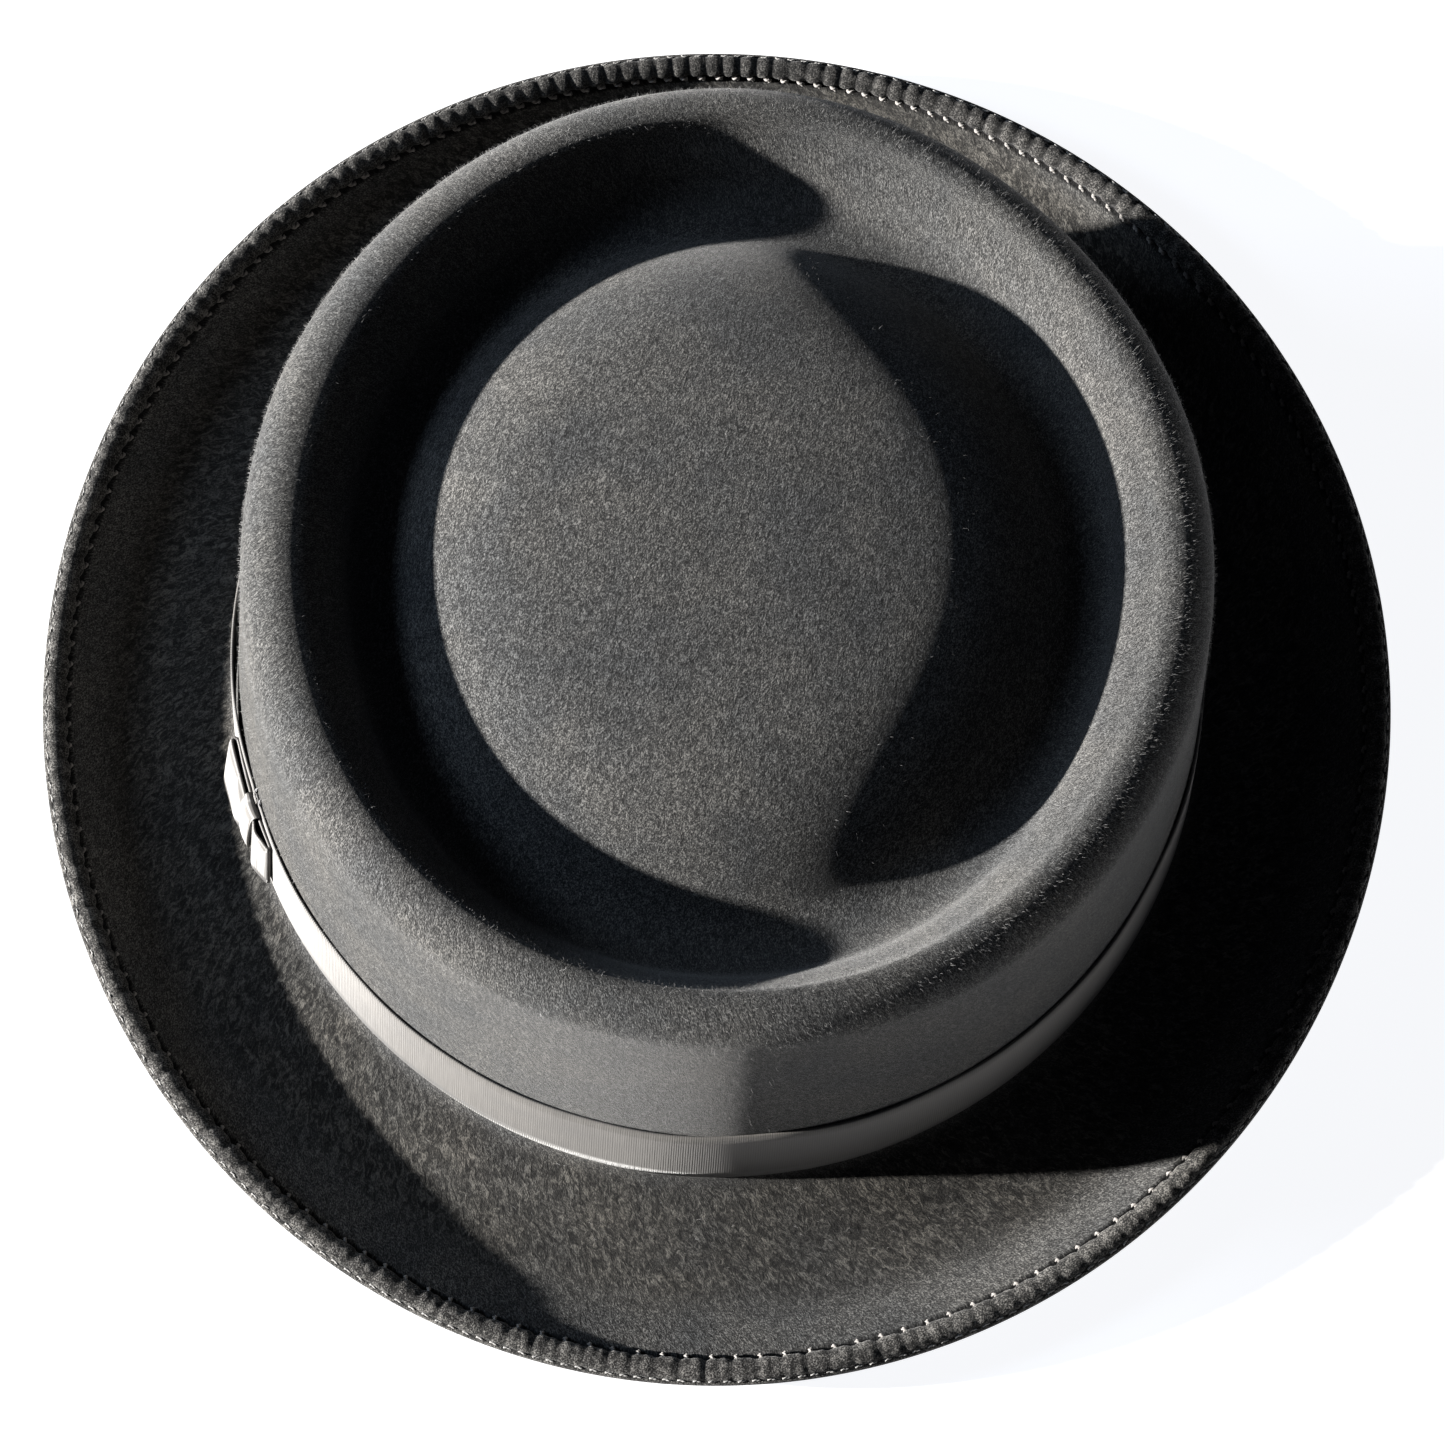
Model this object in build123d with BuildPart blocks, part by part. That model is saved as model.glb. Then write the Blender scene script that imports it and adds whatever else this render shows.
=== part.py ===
from build123d import *
import os
from math import atan2, cos, degrees, radians, sin

# Pork pie felt hat, in millimetres. Z = 0 is the surface the hat stands on, the Z axis runs
# through the middle of the head oval, -Y is the back of the hat and -X the wearer's left.
# Every ring is made round the Z axis and then stretched along Y to the head oval, so radii
# are half widths from side to side and directions are angles on the round ring.

# Head oval
head_oval = 1.063            # front-to-back length over side-to-side width
stretch = (1, head_oval, 1)

# Felt body; corners are on the middle of the felt's thickness
felt_thickness = 2.5
curl_angle = 48.0            # slope of the curled brim edge
curl_length = 12.0           # from the curl's corner to the raw felt edge
curl_radius = 119.8
rest_radius = 108.0          # inner corner of the flat ring that touches the table
rest_sink = 0.05             # trimmed off under the brim, for a true flat to stand on
break_radius = 92.0          # foot of the crown
break_height = 5.0
rim_top = 79.0               # highest point of the rim
rim_outer_radius = 86.8
rim_inner_radius = 78.0
rim_slope_radius = 70.5      # where the rim's inner slope turns down into the groove
rim_slope_drop = 4.5
groove_radius = 66.0
groove_depth = 17.5          # of the groove's corner below the rim
tip_top = 83.0               # highest point of the domed tip
tip_edge_radius = 50.0
tip_edge_drop = 3.9          # of the tip's shoulder below its middle
tip_middle_radius = 20.0
felt_bends = (12.0, 20.0, 4.5, 6.5, 9.0, 8.0, 6.0, 30.0, 200.0)

# Welt round the brim edge and the two threads that sew it on
welt_thickness = 1.5
welt_cover = 6.4             # how far the strip reaches in over the brim
welt_nose = 1.5              # how far it stands past the raw edge
inner_thread_inset = 4.9     # from the raw felt edge
outer_thread_inset = 1.5
thread_width = 0.7
thread_height = 0.35
clearance = 0.05             # between layers that lie against each other

# Ribbon band and bow
band_width = 20.5
band_thickness = 0.8
band_foot = 8.8
bow_direction = 205.0
bow_height = 18.4
bow_foot = 10.0
front_loop_length = 15.5
rear_loop_length = 13.5
knot_width = 4.4
knot_pad = 1.4               # thickness of the folded loops under the knot
wrap_thickness = 0.6
tack_rise = 1.4              # of the tack stitches above the band
tack_spread = 0.8            # degrees from the knot to each tack stitch
tack_length = 2.4

# Sweatband and lining
sweatband_thickness = 1.0
sweatband_width = 46.0
sweatband_gap = 1.5          # between felt and leather
sweatband_foot = 7.6
reed_radius = 0.9
tape_thickness = 0.35
tape_flange = 6.0
sewing_rise = 2.8            # of the thread through the tape above the sweatband's foot
back_stitch_count = 7
back_stitch_foot = 18.0
back_stitch_pitch = 3.6
back_stitch_length = 4.2
back_stitch_slant = 25.0
back_bow_rise = 9.0
back_bow_half = 8.0
lining_thickness = 0.5
lining_gap = 0.2
lining_foot = 26.0
lining_top = 56.2
piping_radius = 0.8
tab_height = 12.0
tab_thickness = 0.4
tab_direction = 262.0
tab_arc = 8.0

os.makedirs("parts", exist_ok=True)

half_felt = felt_thickness / 2
mid_top = rim_top - half_felt
mid_tip = tip_top - half_felt
mid_rest = half_felt - rest_sink
curl = radians(curl_angle)
raw_edge = (
    curl_radius + curl_length * cos(curl),
    half_felt + curl_length * sin(curl),
)
lean = atan2(break_radius - rim_outer_radius, mid_top - break_height)


def wall_radius(height):
    """Radius of the crown wall, in the middle of the felt, at a height."""
    share = (height - break_height) / (mid_top - break_height)
    return break_radius + share * (rim_outer_radius - break_radius)


def wall_section(height, direction=0.0):
    """Radial plane on the crown wall: local x runs up the wall, local y outwards."""
    turn = radians(direction)
    radius = wall_radius(height)
    return Plane(
        origin=(radius * cos(turn), radius * sin(turn), height),
        x_dir=(-sin(lean) * cos(turn), -sin(lean) * sin(turn), cos(lean)),
        z_dir=(-sin(turn), cos(turn), 0),
    )


def wall_face(height, direction, outward):
    """Plane flat on the wall: local x runs round the crown, local z outwards."""
    turn = radians(direction)
    radius = wall_radius(height) + outward * cos(lean)
    return Plane(
        origin=(radius * cos(turn), radius * sin(turn), height + outward * sin(lean)),
        x_dir=(-sin(turn), cos(turn), 0),
        z_dir=(cos(lean) * cos(turn), cos(lean) * sin(turn), sin(lean)),
    )


def save(part, name):
    """Label a finished sub-part and write its STEP file."""
    part.part.label = name
    export_step(part.part, f"parts/{name}.step")


# Felt body: crown and brim blocked in one piece
with BuildPart() as felt_body:
    with BuildSketch(Plane.XZ):
        with BuildLine():
            FilletPolyline(
                raw_edge,
                (curl_radius, mid_rest),
                (rest_radius, mid_rest),
                (break_radius, break_height),
                (rim_outer_radius, mid_top),
                (rim_inner_radius, mid_top),
                (rim_slope_radius, mid_top - rim_slope_drop),
                (groove_radius, mid_top - groove_depth),
                (tip_edge_radius, mid_tip - tip_edge_drop),
                (tip_middle_radius, mid_tip),
                (0, mid_tip),
                radius=felt_bends,
            )
        trace(line_width=felt_thickness)
    revolve(axis=Axis.Z)
    scale(by=stretch)
    split(bisect_by=Plane.XY, keep=Keep.TOP)
save(felt_body, "felt_body")

# Welt: a felt strip folded over the raw edge of the brim
edge_section = Plane(
    origin=(raw_edge[0], 0, raw_edge[1]),
    x_dir=(cos(curl), 0, sin(curl)),
    z_dir=(0, -1, 0),
)
with BuildPart() as brim_edge_welt:
    with BuildSketch(edge_section) as welt_profile:
        with Locations((welt_nose, 0)):
            Rectangle(
                welt_nose + welt_cover,
                felt_thickness + 2 * welt_thickness,
                align=(Align.MAX, Align.CENTER),
            )
        fillet(welt_profile.vertices().group_by(Axis.X)[-1], radius=2.4)
        fillet(welt_profile.vertices().group_by(Axis.X)[0], radius=0.6)
        with Locations((clearance, 0)):
            Rectangle(
                welt_cover + clearance,
                felt_thickness + 2 * clearance,
                align=(Align.MAX, Align.CENTER),
                mode=Mode.SUBTRACT,
            )
    revolve(axis=Axis.Z)
    scale(by=stretch)
save(brim_edge_welt, "brim_edge_welt")


def stitch(plane, length, rotation=0.0):
    """One short bar of thread lying on a face."""
    with BuildPart() as bar:
        with BuildSketch(plane):
            SlotOverall(length, thread_width, rotation=rotation)
        extrude(amount=thread_height)
    return bar.part


def thread_ring(section, place, align):
    """A continuous sewing thread laid flat round the oval."""
    with BuildPart() as ring:
        with BuildSketch(section):
            with Locations(place):
                Rectangle(thread_width, thread_height, align=(Align.CENTER, align))
        revolve(axis=Axis.Z)
        scale(by=stretch)
    return ring


# The two threads through the welt: one along its inner edge, one close to the brim's edge
welt_surface = half_felt + welt_thickness + clearance
welt_thread_inner = thread_ring(edge_section, (-inner_thread_inset, welt_surface), Align.MIN)
save(welt_thread_inner, "welt_thread_inner")

welt_thread_outer = thread_ring(edge_section, (-outer_thread_inset, welt_surface), Align.MIN)
save(welt_thread_outer, "welt_thread_outer")

# Grosgrain band round the foot of the crown
with BuildPart() as ribbon_band:
    with BuildSketch(wall_section(band_foot)):
        with Locations((0, half_felt + clearance)):
            Rectangle(band_width, band_thickness, align=(Align.MIN, Align.MIN))
    revolve(axis=Axis.Z)
    scale(by=stretch)
save(ribbon_band, "ribbon_band")

# Bow: seen from above it lies round the band, so its outline follows an arc of this radius
bow_radius = wall_radius(bow_foot) + (half_felt + clearance + band_thickness) / cos(lean)


def over_band(along, lift):
    """Plan point at a distance along the band from the knot, lifted off the band."""
    turn = along / bow_radius
    reach = bow_radius + lift
    return (reach * sin(turn), reach * cos(turn) - bow_radius)


def bow_plan(height):
    """Plan plane at the knot: local x runs to the front of the hat, local y outwards."""
    turn = radians(bow_direction)
    reach = bow_radius - (height - bow_foot) * sin(lean) / cos(lean)
    return Plane(
        origin=(reach * cos(turn), reach * sin(turn), height),
        x_dir=(sin(turn), -cos(turn), 0),
        z_dir=(-sin(lean) * cos(turn), -sin(lean) * sin(turn), cos(lean)),
    )


with BuildPart() as bow_loops:
    with BuildSketch(bow_plan(bow_foot)) as front_loop:
        with BuildLine():
            inner = ThreePointArc(
                over_band(-knot_width / 2 - 0.3, clearance),
                over_band(front_loop_length / 2, clearance),
                over_band(front_loop_length + 1.0, clearance),
            )
            outer = ThreePointArc(
                over_band(front_loop_length - 1.2, 3.8),
                over_band(front_loop_length / 2, 2.6),
                over_band(knot_width / 2, knot_pad),
            )
            Line(inner @ 1, outer @ 0)
            Line(outer @ 1, over_band(-knot_width / 2 - 0.3, knot_pad))
            Line(over_band(-knot_width / 2 - 0.3, knot_pad), inner @ 0)
        make_face()
        fillet(front_loop.vertices().group_by(Axis.X)[-2:], radius=0.5)
    with BuildSketch(bow_plan(bow_foot)):
        with BuildLine():
            inner = ThreePointArc(
                over_band(-knot_width / 2, clearance),
                over_band(-rear_loop_length / 2, clearance),
                over_band(-rear_loop_length, clearance),
            )
            outer = ThreePointArc(
                over_band(-rear_loop_length, 1.0),
                over_band(-0.55 * rear_loop_length, 3.1),
                over_band(-knot_width / 2, knot_pad),
            )
            Line(inner @ 1, outer @ 0)
            Line(outer @ 1, inner @ 0)
        make_face()
        with BuildLine():
            inner = ThreePointArc(
                over_band(-knot_width / 2 - 1.0, 0.7),
                over_band(-rear_loop_length / 2, 0.7),
                over_band(-rear_loop_length + 1.2, 0.7),
            )
            outer = ThreePointArc(
                inner @ 1,
                over_band(-0.55 * rear_loop_length, 2.45),
                inner @ 0,
            )
        make_face(mode=Mode.SUBTRACT)
    extrude(amount=bow_height)
    scale(by=stretch)
save(bow_loops, "bow_loops")

# Knot: the ribbon wrapped over the front, top and bottom of the folded loops
with BuildPart() as bow_knot:
    for foot, height, inside in (
        (bow_foot - wrap_thickness, bow_height + 2 * wrap_thickness, knot_pad + clearance),
        (bow_foot - wrap_thickness, wrap_thickness - clearance, clearance),
        (bow_foot + bow_height * cos(lean) + clearance, wrap_thickness - clearance, clearance),
    ):
        with BuildSketch(bow_plan(foot)):
            with Locations((0, inside)):
                Rectangle(
                    knot_width,
                    knot_pad + wrap_thickness - inside,
                    align=(Align.CENTER, Align.MIN),
                )
        extrude(amount=height)
    scale(by=stretch)
save(bow_knot, "bow_knot")

# Tack stitches: two short threads that hold the bow to the felt just above the band
tack_height = band_foot + band_width * cos(lean) + tack_rise
with BuildPart() as bow_tack_stitches:
    for direction in (bow_direction - tack_spread, bow_direction + tack_spread):
        tack_face = wall_face(tack_height, direction, half_felt + clearance)
        add(stitch(tack_face, tack_length, rotation=90))
    scale(by=stretch)
save(bow_tack_stitches, "bow_tack_stitches")

# Sweatband: leather strip inside the crown
sweatband_outer = -half_felt - sweatband_gap
with BuildPart() as sweatband:
    with BuildSketch(wall_section(sweatband_foot)):
        with Locations((0, sweatband_outer)):
            Rectangle(sweatband_width, sweatband_thickness, align=(Align.MIN, Align.MAX))
    revolve(axis=Axis.Z)
    scale(by=stretch)
save(sweatband, "sweatband")

# Reed in the foot of the sweatband, wrapped by a cloth tape that is sewn to the felt
tape_radius = reed_radius + tape_thickness
reed_place = (-tape_radius, sweatband_outer - sweatband_thickness / 2 + 0.4)
with BuildPart() as sweatband_reed:
    with BuildSketch(wall_section(sweatband_foot)):
        with Locations(reed_place):
            Circle(reed_radius)
    revolve(axis=Axis.Z)
    scale(by=stretch)
save(sweatband_reed, "sweatband_reed")

flange_face = -half_felt - 0.1
with BuildPart() as sweatband_reed_tape:
    with BuildSketch(wall_section(sweatband_foot)):
        with Locations(reed_place):
            Circle(tape_radius)
        with Locations((-tape_radius, flange_face)):
            Rectangle(tape_flange, tape_thickness, align=(Align.MIN, Align.MAX))
        with Locations((-tape_radius, flange_face - tape_thickness / 2)):
            Rectangle(tape_thickness, 1.2, align=(Align.CENTER, Align.MAX))
        with Locations(reed_place):
            Circle(reed_radius, mode=Mode.SUBTRACT)
    revolve(axis=Axis.Z)
    scale(by=stretch)
save(sweatband_reed_tape, "sweatband_reed_tape")


def inside_face(height, direction, depth):
    """Plane inside the crown, facing the head: local x runs round the crown, z inwards."""
    return -wall_face(height, direction, -depth)


# Thread that sews the tape's flange to the felt
sweatband_thread = thread_ring(
    wall_section(sweatband_foot),
    (sewing_rise, flange_face - tape_thickness - clearance),
    Align.MAX,
)
save(sweatband_thread, "sweatband_thread")

# Zigzag seam that closes the sweatband at the back
sweatband_front = -sweatband_outer + sweatband_thickness + clearance
with BuildPart() as sweatband_back_stitches:
    for step in range(back_stitch_count):
        height = sweatband_foot + back_stitch_foot + back_stitch_pitch * step
        slant = back_stitch_slant if step % 2 else -back_stitch_slant
        add(stitch(inside_face(height, 270.0, sweatband_front), back_stitch_length, slant))
    scale(by=stretch)
save(sweatband_back_stitches, "sweatband_back_stitches")

# Small ribbon bow at the foot of that seam
with BuildPart() as sweatband_bow:
    bow_rise = sweatband_foot + back_bow_rise
    with BuildSketch(inside_face(bow_rise, 270.0, sweatband_front + 0.4)):
        with BuildLine():
            Polyline((0, 1.2), (back_bow_half, 3.4), (back_bow_half, -3.4), (0, -1.2))
            mirror(about=Plane.YZ)
        make_face()
    extrude(amount=0.8)
    with BuildSketch(inside_face(bow_rise, 270.0, sweatband_front + 1.2)) as bow_tie:
        Rectangle(3.2, 4.0)
        fillet(bow_tie.vertices(), radius=0.8)
    extrude(amount=0.5)
    scale(by=stretch)
save(sweatband_bow, "sweatband_bow")

# Lining: satin side panel, flat tip and the piping in their joint
lining_back = -half_felt - lining_gap
lining_run = (lining_top - lining_foot) / cos(lean)
with BuildPart() as lining_side:
    with BuildSketch(wall_section(lining_foot)):
        with Locations((0, lining_back)):
            Rectangle(lining_run, lining_thickness, align=(Align.MIN, Align.MAX))
    revolve(axis=Axis.Z)
    scale(by=stretch)
save(lining_side, "lining_side")

tip_radius = wall_radius(lining_top + 1.0) + lining_back
tip_height = lining_top + 0.1
with BuildPart() as lining_tip:
    with BuildSketch(Plane.XY.offset(tip_height)):
        Circle(tip_radius)
    extrude(amount=lining_thickness)
    scale(by=stretch)
save(lining_tip, "lining_tip")

piping_centre = (tip_radius - lining_thickness - piping_radius - 0.1, tip_height - piping_radius)
with BuildPart() as lining_piping:
    with BuildSketch(Plane.XZ):
        with Locations(piping_centre):
            RegularPolygon(piping_radius, 8, rotation=22.5)
    revolve(axis=Axis.Z)
    scale(by=stretch)
save(lining_piping, "lining_piping")

# Size tab: a small blank tab tucked behind the sweatband at the back
with BuildPart() as size_tab:
    tab_foot = sweatband_foot + sweatband_width - tab_height
    with BuildSketch(wall_section(tab_foot, tab_direction)):
        with Locations((0, lining_back - lining_thickness - 0.15)):
            Rectangle(tab_height, tab_thickness, align=(Align.MIN, Align.MAX))
    revolve(axis=Axis.Z, revolution_arc=tab_arc)
    scale(by=stretch)
save(size_tab, "size_tab")
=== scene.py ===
from math import atan2, ceil, cos, degrees, hypot, pi, radians, sin, tan

import bpy
import numpy as np
from mathutils import Matrix, Vector


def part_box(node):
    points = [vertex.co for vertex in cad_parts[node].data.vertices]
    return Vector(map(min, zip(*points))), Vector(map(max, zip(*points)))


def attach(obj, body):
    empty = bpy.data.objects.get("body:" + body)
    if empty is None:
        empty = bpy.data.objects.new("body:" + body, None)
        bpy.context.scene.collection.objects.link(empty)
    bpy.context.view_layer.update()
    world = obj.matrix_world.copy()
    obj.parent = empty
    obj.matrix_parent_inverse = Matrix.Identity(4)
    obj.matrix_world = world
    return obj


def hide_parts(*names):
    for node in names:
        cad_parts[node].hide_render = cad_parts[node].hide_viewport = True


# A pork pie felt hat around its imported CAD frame. Shapes are worked out in millimetres on a
# round hat, as angle, radius and height, and mould() then stretches them to the head oval.

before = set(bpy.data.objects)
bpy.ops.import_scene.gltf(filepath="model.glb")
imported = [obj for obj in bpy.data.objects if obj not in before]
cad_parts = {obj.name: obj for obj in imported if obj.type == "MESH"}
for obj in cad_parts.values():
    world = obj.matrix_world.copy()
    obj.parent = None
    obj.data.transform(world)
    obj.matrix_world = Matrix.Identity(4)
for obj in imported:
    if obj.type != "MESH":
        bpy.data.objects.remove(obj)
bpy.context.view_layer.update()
scene = bpy.context.scene
rng = np.random.default_rng(11)


# Sizes taken from the frame


def box_mm(node):
    low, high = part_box(node)
    return np.array(low) * 1000, np.array(high) * 1000


felt_low, felt_high = box_mm("felt_body")
band_low, band_high = box_mm("ribbon_band")
sweat_low, sweat_high = box_mm("sweatband")
lining_low, lining_high = box_mm("lining_side")
tip_low, tip_high = box_mm("lining_tip")

OVAL = (felt_high[1] - felt_low[1]) / (felt_high[0] - felt_low[0])
FELT = 2.5
HALF = FELT / 2
CURL = radians(48.0)
EDGE_RUN = 12.0
EDGE = np.array([felt_high[0] - HALF * sin(CURL), HALF + EDGE_RUN * sin(CURL)])
CURL_CORNER = EDGE[0] - EDGE_RUN * cos(CURL)
TIP_TOP = felt_high[2] - HALF
TOP = TIP_TOP - 4.0          # the rim, lower than the domed tip
BREAK = np.array([92.0, 5.0])
RIM_OUTER = 86.8
RIM_INNER = 78.0
RIM_SLOPE = np.array([70.5, TOP - 4.5])
GROOVE = np.array([66.0, TOP - 17.5])
TIP_EDGE = np.array([48.0, TIP_TOP - 3.7])
TIP_MIDDLE = np.array([20.0, TIP_TOP])
WALL_LEAN = atan2(BREAK[0] - RIM_OUTER, TOP - BREAK[1])
BAND_FOOT, BAND_TOP = band_low[2], band_high[2]
BAND_THICKNESS = 0.8
BOW_DIRECTION = radians(203.1)
BOW_FOOT, BOW_TOP = box_mm("bow_loops")[0][2], box_mm("bow_loops")[1][2]
SWEAT_FOOT, SWEAT_TOP = sweat_low[2], sweat_high[2]

MEAN_RADIUS = 100.0          # turns an angle round the hat into millimetres
RIB_PITCH = 0.46             # of the grosgrain
INNER_PITCH = 3.95           # spacing of the stitches along the welt's inner edge
INNER_CROWDING = 30.0        # closer at the front, wider apart at the back
OUTER_PITCH = 2.8            # spacing of the small stitches along its outer edge
EDGE_ROUND = pi * EDGE[0] * (1 + OVAL)
INNER_STITCHES = round(EDGE_ROUND * 0.965 / INNER_PITCH)
OUTER_STITCHES = round(EDGE_ROUND / OUTER_PITCH)


# Shape of the hat


def turns_round(count):
    """Evenly spaced angles once round, as one row."""
    return np.linspace(0, 2 * pi, count, endpoint=False)[None, :]


def smooth(low, high, value):
    """0 below low, 1 above high, smooth between."""
    share = np.clip((np.asarray(value, float) - low) / (high - low), 0, 1)
    return share * share * (3 - 2 * share)


def front_share(turn):
    """1 at the front of the hat, falling to 0 at its sides and all round the back."""
    return np.clip(np.sin(turn), 0, 1) ** 2


def curled(turn, radius, height):
    """The brim's curl opens at the back of the hat and closes a little at the front."""
    at_back, at_front = front_share(-turn), front_share(turn)
    past, over = radius - CURL_CORNER, height - HALF
    bend = (radians(14) * at_back - radians(8) * at_front) * smooth(0, 5, past)
    outward = past * np.cos(bend) + over * np.sin(bend)
    upward = over * np.cos(bend) - past * np.sin(bend)
    shift = (0.4 + 0.84 * at_front - 2.6 * at_back) * smooth(98, 112, radius)
    return CURL_CORNER + outward + shift, HALF + upward


def mould(turn, radius, height):
    """Points in metres of the real hat, from angle, radius and height on the round one."""
    turn, radius, height = np.broadcast_arrays(turn, radius, height)
    off_brim = 1 - smooth(95, 110, radius)
    rim = smooth(TOP - 25, TOP - 3, height) * smooth(66, 76, radius) * off_brim
    brim = smooth(112, 130, radius)
    crown = smooth(BREAK[1], TOP, height) * off_brim
    ends = np.sin(turn) ** 2                                    # 1 at the front and back
    right = np.clip(np.cos(turn), 0, 1)                         # 1 on the wearer's right
    lift = brim * (1.9 * np.cos(2 * turn) + 0.35 * np.sin(3 * turn + 0.6) + 0.2 * np.cos(5 * turn))
    swell = crown * (0.35 * np.cos(3 * turn + 1.0) + 0.25 * np.sin(5 * turn))
    back = -0.9 * smooth(95, 125, radius)
    # The rim is higher on the left; the groove is deeper and wider at the ends
    slope = -1.2 * rim * np.cos(turn)
    deeper = 3.0 * ends * np.exp(-(((radius - GROOVE[0]) / 6.5) ** 2)) * smooth(TOP - 22, TOP - 16, height)
    wider = (1.5 + 1.5 * right + 5.5 * ends) * np.exp(-(((radius - 70) / 8) ** 2)) * smooth(50, 60, height)
    radius, height = curled(turn, radius, height)
    radius = radius + wider + swell
    x = radius * np.cos(turn)
    y = radius * np.sin(turn) * OVAL + back
    return np.stack([x, y, height + lift + slope - deeper], axis=-1) / 1000


def wall_radius(height):
    """Middle of the felt in the crown wall."""
    share = (np.asarray(height, float) - BREAK[1]) / (TOP - BREAK[1])
    return BREAK[0] + share * (RIM_OUTER - BREAK[0])


def along_line(points):
    """Distance along a line of points, from its first one."""
    return np.concatenate([[0], np.cumsum(np.hypot(*np.diff(points, axis=0).T))])


def side_normals(line):
    """Unit normals on the left of a line of points."""
    steps = np.gradient(line, axis=0)
    return unit(np.stack([-steps[:, 1], steps[:, 0]], axis=1))


def unit(vectors):
    return vectors / np.linalg.norm(vectors, axis=1, keepdims=True)


def rounded_path(corners, radii, arc_step, line_step):
    """Points along straight runs joined by arcs, with the side normals (to the right)."""
    corners = [np.array(c, float) for c in corners]
    points, headings = [corners[0]], []
    first = corners[1] - corners[0]
    headings.append(atan2(first[1], first[0]))
    here = corners[0]
    for before, corner, after, radius in zip(corners, corners[1:], corners[2:], radii):
        a = atan2(*(corner - before)[::-1])
        b = atan2(*(after - corner)[::-1])
        bend = (b - a + pi) % (2 * pi) - pi
        reach = radius * tan(abs(bend) / 2)
        start = corner - reach * np.array([cos(a), sin(a)])
        run = start - here
        for k in range(1, ceil(hypot(*run) / line_step) + 1):
            points.append(here + run * k / ceil(hypot(*run) / line_step))
            headings.append(a)
        side = 1 if bend > 0 else -1
        centre = start + side * radius * np.array([-sin(a), cos(a)])
        steps = max(2, ceil(degrees(abs(bend)) / arc_step), ceil(radius * abs(bend) / 4))
        for k in range(1, steps + 1):
            angle = a + bend * k / steps
            points.append(centre + side * radius * np.array([sin(angle), -cos(angle)]))
            headings.append(angle)
        here = points[-1]
    run = corners[-1] - here
    for k in range(1, ceil(hypot(*run) / line_step) + 1):
        points.append(here + run * k / ceil(hypot(*run) / line_step))
        headings.append(atan2(run[1], run[0]))
    points, headings = np.array(points), np.array(headings)
    return points, np.stack([np.sin(headings), -np.cos(headings)], axis=1)


# Mesh helpers


def add_mesh(name, points, faces, material, slot, stands_for=()):
    """A piece from points and faces, smooth, riding on the hat."""
    mesh = bpy.data.meshes.new(name)
    mesh.from_pydata(np.asarray(points).reshape(-1, 3).tolist(), [], faces)
    mesh.update()
    mesh.shade_smooth()
    piece = bpy.data.objects.new(name, mesh)
    scene.collection.objects.link(piece)
    mesh.materials.append(material)
    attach(piece, "root")
    if stands_for:
        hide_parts(*stands_for)
    return piece


def grid_faces(rows, columns, wrap_rows=False, wrap_columns=True, start=0):
    """Quads over a grid of points stored row by row."""
    faces = []
    for i in range(rows if wrap_rows else rows - 1):
        for j in range(columns if wrap_columns else columns - 1):
            a = start + i * columns + j
            b = start + i * columns + (j + 1) % columns
            c = start + (i + 1) % rows * columns + (j + 1) % columns
            d = start + (i + 1) % rows * columns + j
            faces.append((a, b, c, d))
    return faces


def strip_faces(rows, columns):
    """Faces of an open strip: its outer skin's rows, then its inner skin's in reverse."""
    faces = grid_faces(2 * rows, columns, wrap_rows=True, wrap_columns=False)
    for i in range(rows - 1):
        for j in (0, columns - 1):
            a, b = i * columns + j, (i + 1) * columns + j
            c, d = (2 * rows - 2 - i) * columns + j, (2 * rows - 1 - i) * columns + j
            faces.append((a, b, c, d) if j else (d, c, b, a))
    return faces


def add_attribute(piece, name, values):
    layer = piece.data.attributes.new(name, "FLOAT", "POINT")
    layer.data.foreach_set("value", np.ascontiguousarray(values, np.float32).ravel())


def ring_piece(name, section, material, columns, wobble=None, **kind):
    """A ring round the hat from a section of (radius, height) points."""
    turns = turns_round(columns)
    radius, height = section[:, :1], section[:, 1:]
    if wobble is not None:
        radius, height = wobble(turns, radius, height)
    faces = grid_faces(len(section), columns, wrap_rows=True)
    piece = add_mesh(name, mould(turns, radius, height), faces, material, **kind)
    add_attribute(piece, "run", np.repeat(along_line(section), columns))
    return piece


# Material helpers


def new_material(name):
    material = bpy.data.materials.new(name)
    material.use_nodes = True
    return material, material.node_tree


def dressed(material, colour, normal=None, roughness=None, **values):
    """The material with its looks on the shader; names of values have _ for a space."""
    tree = material.node_tree
    shader = tree.nodes["Principled BSDF"]
    for socket, made in (("Base Color", colour), ("Normal", normal), ("Roughness", roughness)):
        if made is not None:
            tree.links.new(made, shader.inputs[socket])
    for key, value in values.items():
        shader.inputs[key.replace("_", " ")].default_value = value
    return material


def node(tree, kind, **values):
    made = tree.nodes.new(kind)
    for key, value in values.items():
        setattr(made, key, value)
    return made


def maths(tree, operation, a, b=0.0):
    """A Math node on two sockets or numbers."""
    made = node(tree, "ShaderNodeMath", operation=operation)
    for socket, value in zip(made.inputs, (a, b)):
        if isinstance(value, (int, float)):
            socket.default_value = value
        else:
            tree.links.new(value, socket)
    return made.outputs[0]


def weighted(tree, a, share_a, b, share_b):
    """a times its share plus b times its share."""
    return maths(tree, "ADD", maths(tree, "MULTIPLY", a, share_a), maths(tree, "MULTIPLY", b, share_b))


def scaled(tree, vector, factors):
    made = node(tree, "ShaderNodeVectorMath", operation="MULTIPLY")
    tree.links.new(vector, made.inputs[0])
    made.inputs[1].default_value = factors
    return made.outputs[0]


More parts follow.
